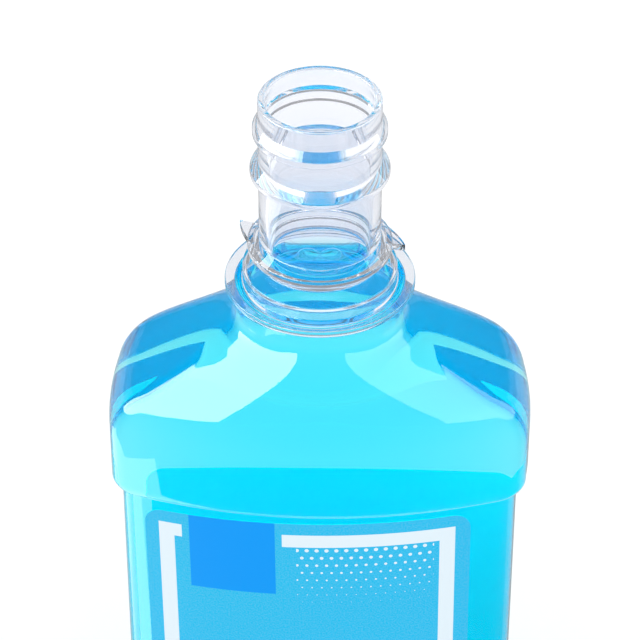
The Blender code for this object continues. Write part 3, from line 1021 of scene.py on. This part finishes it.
def front_print(settings):
    """The printed face: a pale frame, a plain block and rows of small round dots."""
    made, tree, shader = new_material("front_film")
    flat = put(tree, "ShaderNodeUVMap", uv_map="flat").outputs["UV"]
    split = put(tree, "ShaderNodeSeparateXYZ", {"Vector": flat}).outputs
    half_width = settings.width / 2
    half_height = PANEL_HEIGHT / 2 - settings.margin
    right, bottom = settings.width - FRAME_RIGHT, 2 * half_height - FRAME_TOP

    def box(left, right, top, bottom):
        """A mask of a box measured from the label's left and top edges."""
        sides = (
            ("X", "GREATER_THAN", left - half_width), ("X", "LESS_THAN", right - half_width),
            ("Y", "GREATER_THAN", half_height - bottom), ("Y", "LESS_THAN", half_height - top),
        )
        return product(tree, *(maths(tree, test, split[axis], edge) for axis, test, edge in sides))

    frame_outside = box(FRAME_LEFT, right, FRAME_TOP, bottom)
    holes = (
        box(FRAME_LEFT + FRAME_BAR, right - FRAME_BAR, FRAME_TOP + FRAME_BAR, bottom - FRAME_BAR),
        box(BLOCK_LEFT - BLOCK_GAPS[0], BLOCK_RIGHT + BLOCK_GAPS[1], 0, BLOCK_BOTTOM),
    )
    frame = product(tree, frame_outside, *(maths(tree, "SUBTRACT", 1.0, hole) for hole in holes))
    block = box(BLOCK_LEFT, BLOCK_RIGHT, 0, BLOCK_BOTTOM)
    down = maths(tree, "SUBTRACT", half_height, split["Y"])
    dots = product(tree, printed_dots(tree, split["X"], down), box(
        BLOCK_RIGHT + DOT_GAPS[0], right - FRAME_BAR - DOT_GAPS[1],
        FRAME_TOP + FRAME_BAR, 2 * half_height,
    ))
    speck = put(tree, "ShaderNodeTexNoise", {
        "Vector": flat, "Scale": SPECK_SCALE, "Detail": SPECK_DETAIL,
    }).outputs["Fac"]
    specks = spread(tree, speck, 0.0, SPECK_SHARE, *SPECK_RANGE)
    colour = mixed(tree, specks, settings.ground, settings.pale)
    for mask, ink in ((block, settings.block), (frame, settings.pale), (dots, settings.pale)):
        colour = mixed(tree, mask, colour, ink)
    plug(tree, shader, {"Base Color": colour, "Specular IOR Level": PRINT_SPECULAR})
    moulded(tree, shader, PRINT_WAVES, PRINT_ROUGHNESS, FILM_BUMP)
    return made


def plain_film(name, colour, inputs=None):
    """Unprinted film, slightly mottled."""
    made, tree, shader = new_material(name)
    waves = moulded(tree, shader, FILM_WAVES, FILM_ROUGHNESS, FILM_BUMP)
    darker = [MOTTLE_TONE * value for value in colour]
    mottle = spread(tree, waves["Mask"], 0.0, MOTTLE_SHARE)
    plug(tree, shader, {"Base Color": mixed(tree, mottle, colour, darker), **(inputs or {})})
    return made


class BOTTLE_OT_wall(bpy.types.Operator):
    """Build the clear bottle with its neck finish"""

    bl_idname = "bottle.wall"
    bl_label = "Clear Bottle"

    def execute(self, context):
        settings = context.scene.bottle_settings
        plastics = [
            clear_plastic("neck_plastic", settings, settings.neck_tint, PLASTIC_IOR, 0.0),
            clear_plastic("body_plastic", settings, settings.tint, WETTED_IOR, 1.0),
            clear_plastic("wetted_plastic", settings, WHITE, WETTED_IOR, 0.0),
        ]
        piece = bottle_mesh()
        for plastic in plastics:
            piece.data.materials.append(plastic)
        teeth = copied_round("ratchet_teeth", {
            "Part": tooth_solid(), "Count": TOOTH_COUNT, "Reach": 0.0, "Height": 0.0,
            "First Angle": TOOTH_START, "Angle Step": TOOTH_STEP, "Material": plastics[NECK],
        })
        piece = united(piece, teeth)
        smooth(piece)
        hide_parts("bottle")
        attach(piece, "root")
        return {"FINISHED"}


class BOTTLE_OT_liquid(bpy.types.Operator):
    """Fill the bottle with mouthwash"""

    bl_idname = "bottle.liquid"
    bl_label = "Mouthwash"

    def execute(self, context):
        settings = context.scene.liquid_settings
        piece = liquid_mesh(settings)
        smooth(piece)
        piece.data.materials.append(blue_liquid(settings))
        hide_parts("liquid")
        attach(piece, "root")
        bubbles = copied_round("surface_bubbles", {
            "Part": bubble_ring(), "Count": BUBBLE_COUNT, "Reach": BUBBLE_REACH,
            "Height": FILL_Z - settings.meniscus_height, "First Angle": BUBBLE_START,
            "Angle Step": BUBBLE_STEP, "Material": bubble_film(),
        })
        smooth(bubbles, FILM_CREASE)
        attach(bubbles, "root")
        return {"FINISHED"}


class BOTTLE_OT_labels(bpy.types.Operator):
    """Stick a film label on the front and the back of the panel"""

    bl_idname = "bottle.labels"
    bl_label = "Film Labels"

    def execute(self, context):
        settings = context.scene.label_settings
        # The glued side's cyan is painted light: the colour of light that has come through the
        # liquid, put on film that is really white
        adhesive = plain_film("film_inside", settings.inside, {
            "Subsurface Weight": 1.0, "Subsurface Radius": WHITE,
            "Subsurface Scale": FILM_THICKNESS, "Specular IOR Level": 0.0,
        })
        faces = {
            "front": front_print(settings),
            "back": plain_film("back_film", settings.ground),
        }
        places = (
            ("front", 0, settings.width, 0, settings.tilt),
            ("back", math.pi, settings.back_width, settings.back_drop, 0),
        )
        for side, *place in places:
            piece = label_mesh(f"{side}_film_label", settings, *place)
            piece.data.materials.append(faces[side])
            piece.data.materials.append(adhesive)
            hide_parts(f"{side}_label")
            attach(piece, "root")
        return {"FINISHED"}


def show_only_to(thing, rays):
    for kind in ("camera", "diffuse", "glossy", "transmission"):
        setattr(thing, f"visible_{kind}", kind == rays)


def area_lamp(name, width, height, strength, place, rays):
    """A flat lamp that one kind of ray alone sees."""
    lamp = bpy.data.lights.new(name, "AREA")
    lamp.shape = "RECTANGLE"
    lamp.size, lamp.size_y = width, height
    lamp.energy = strength * width * height * math.pi
    thing = new_object(name, lamp)
    thing.matrix_world = place
    show_only_to(thing, rays)


def soft_box(name, azimuth, strength):
    """An upright lamp beside the bottle, seen in the gloss alone."""
    low, high = SOFT_BOX_HEIGHTS
    away = Vector((math.sin(azimuth), -math.cos(azimuth), 0))
    middle = away * SOFT_BOX_DISTANCE + Vector((0, 0, (low + high) / 2))
    place = Matrix.Translation(middle) @ away.to_track_quat("Z", "Y").to_matrix().to_4x4()
    width = 2 * SOFT_BOX_DISTANCE * math.tan(SOFT_BOX_HALF_SPAN)
    area_lamp(name, width, high - low, strength, place, "glossy")


def floor_card(name, azimuth, near, far, width, strength):
    """A lit card on the floor, seen in the gloss alone.

    One edge runs out along the azimuth, and a negative width lays the card on its other side.
    """
    middle = Vector((width / 2, -(near + far) / 2, 2 * DRAPE_LIFT))
    face_up = Matrix.Rotation(math.pi, 4, "X")
    place = Matrix.Rotation(azimuth, 4, "Z") @ Matrix.Translation(middle) @ face_up
    area_lamp(name, abs(width), far - near, strength, place, "glossy")


def mottled(tree, scale, low, high):
    """A grey that wanders between two tones."""
    noise = put(tree, "ShaderNodeTexNoise", {
        "Vector": put(tree, "ShaderNodeTexCoord").outputs["Object"], "Scale": scale,
    })
    return mixed(tree, noise.outputs["Fac"], (low,) * 3, (high,) * 3)


def drape(name, radius, low, tone, rays):
    """A plain drape from a height of a dome round the studio to its top, for one kind of ray.

    Gloss sees a dark one, so that bare plastic mirrors little but the lamps, and what is seen
    through the glass past the floor's edge is greyer than the floor. What a matt surface
    inside the glass gathers from it is as pale as the floor.
    """
    model = bmesh.new()
    turns = [math.tau * side / DRAPE_SIDES for side in range(DRAPE_SIDES)]
    rows = []
    for step in range(DRAPE_STEPS + 1):
        rise = low + (math.pi / 2 - low) * step / DRAPE_STEPS
        reach = radius * math.cos(rise)
        outline = [(reach * math.cos(turn), reach * math.sin(turn)) for turn in turns]
        rows.append(add_ring(model, outline, max(radius * math.sin(rise), DRAPE_LIFT)))
    bridge_all(model, rows)
    bmesh.ops.remove_doubles(model, verts=model.verts, dist=DRAPE_LIFT)
    cloth = finished(name, model)
    made, tree, shader = new_material(name)
    low_tone, high_tone = (1 - DRAPE_VARIATION) * tone, (1 + DRAPE_VARIATION) * tone
    depth = put(tree, "ShaderNodeLightPath").outputs["Diffuse Depth"]
    colour = mixed(
        tree, maths(tree, "GREATER_THAN", depth, 0.5),
        mottled(tree, DRAPE_NOISE_SCALE, low_tone, high_tone), (DRAPE_PALE_TONE,) * 3,
    )
    plug(tree, shader, {"Base Color": colour, "Specular IOR Level": 0.0, "Roughness": 1.0})
    cloth.data.materials.append(made)
    show_only_to(cloth, rays)
    cloth.visible_shadow = cloth.visible_volume_scatter = False


def studio_floor(size):
    """A pale floor, taken to white where the camera or gloss sees it."""
    model = bmesh.new()
    bmesh.ops.create_grid(
        model, x_segments=FLOOR_STEPS, y_segments=FLOOR_STEPS, size=size / 2
    )
    floor = finished("studio_floor", model)
    made, tree, shader = new_material("studio_floor")
    path = put(tree, "ShaderNodeLightPath").outputs
    seen = maths(tree, "MAXIMUM", path["Is Camera Ray"], path["Is Glossy Ray"])
    plug(tree, shader, {
        "Base Color": mottled(tree, FLOOR_NOISE_SCALE, *FLOOR_TONES),
        "Roughness": FLOOR_ROUGHNESS, "Specular IOR Level": 0.0,
        "Emission Color": WHITE, "Emission Strength": product(tree, seen, FLOOR_GLOW),
    })
    floor.data.materials.append(made)


def studio_world():
    """White all round, with one strength where it is seen and another where it only lights."""
    world = bpy.data.worlds.new("studio")
    world.use_nodes = True
    tree = world.node_tree
    tree.nodes.clear()
    path = put(tree, "ShaderNodeLightPath").outputs
    seen = maths(tree, "MAXIMUM", path["Is Camera Ray"], path["Is Glossy Ray"])
    seen = maths(tree, "MAXIMUM", seen, path["Is Transmission Ray"])
    sky = put(tree, "ShaderNodeBackground", {
        "Color": WHITE, "Strength": spread(tree, seen, WORLD_LIGHT, WORLD_SEEN),
    })
    put(tree, "ShaderNodeOutputWorld", {"Surface": sky.outputs["Background"]})
    return world


def viewpoint(settings):
    """A camera that looks down at the neck and the shoulder."""
    turn = Matrix.Rotation(settings.turn, 3, "Z")
    sight = turn @ Vector((0, math.cos(settings.pitch), -math.sin(settings.pitch)))
    up = turn @ Vector((0, math.sin(settings.pitch), math.cos(settings.pitch)))
    place = Vector((0, 0, RIM_Z)) - sight * settings.distance - up * settings.rise
    camera = bpy.data.cameras.new("camera")
    camera.lens = settings.lens
    camera.sensor_width = SENSOR_WIDTH
    camera.clip_start = NEAREST_VIEW
    viewer = new_object("camera", camera)
    axes = Matrix((sight.cross(up), up, -sight)).transposed().to_4x4()
    viewer.matrix_world = Matrix.Translation(place) @ axes
    return viewer


class BOTTLE_OT_stage(bpy.types.Operator):
    """Set the camera, the lamps, the world and the floor"""

    bl_idname = "bottle.stage"
    bl_label = "Studio"

    def execute(self, context):
        scene = context.scene
        settings = scene.stage_settings
        scene.view_settings.view_transform = "Standard"
        for kind in ("max", "transmission", "glossy", "diffuse"):
            setattr(scene.cycles, f"{kind}_bounces", settings.light_bounces)
        scene.camera = viewpoint(settings)
        scene.world = studio_world()
        studio_floor(settings.floor_size)
        for soft in SOFT_BOXES:
            soft_box(*soft)
        for card in FLOOR_CARDS:
            floor_card(*card)
        area_lamp(
            "top_box", TOP_BOX_WIDTH, TOP_BOX_WIDTH, TOP_BOX_STRENGTH,
            Matrix.Translation((0, 0, TOP_BOX_HEIGHT)), "transmission",
        )
        for cloth in DRAPES:
            drape(*cloth)
        return {"FINISHED"}


class BOTTLE_PT_panel(bpy.types.Panel):
    """Lists the bottle's operators and settings"""

    bl_idname = "BOTTLE_PT_panel"
    bl_label = "Mouthwash Bottle"
    bl_space_type = "VIEW_3D"
    bl_region_type = "UI"
    bl_category = "Bottle"

    def draw(self, context):
        for operator in OPERATORS:
            self.layout.operator(operator.bl_idname)
        for name, group in SETTINGS.items():
            box = self.layout.box()
            for key in group.__annotations__:
                box.prop(getattr(context.scene, name), key)


SETTINGS = {
    "bottle_settings": BottleSettings,
    "liquid_settings": LiquidSettings,
    "label_settings": LabelSettings,
    "stage_settings": StageSettings,
}
OPERATORS = (BOTTLE_OT_wall, BOTTLE_OT_liquid, BOTTLE_OT_labels, BOTTLE_OT_stage)
CLASSES = (*SETTINGS.values(), *OPERATORS, BOTTLE_PT_panel)


def register():
    for kind in CLASSES:
        bpy.utils.register_class(kind)
    for name, group in SETTINGS.items():
        setattr(bpy.types.Scene, name, PointerProperty(type=group))


def unregister():
    for name in SETTINGS:
        delattr(bpy.types.Scene, name)
    for kind in reversed(CLASSES):
        bpy.utils.unregister_class(kind)


def main():
    register()
    bpy.ops.bottle.wall()
    bpy.ops.bottle.liquid()
    bpy.ops.bottle.labels()
    bpy.ops.bottle.stage()


if __name__ == "__main__":
    main()
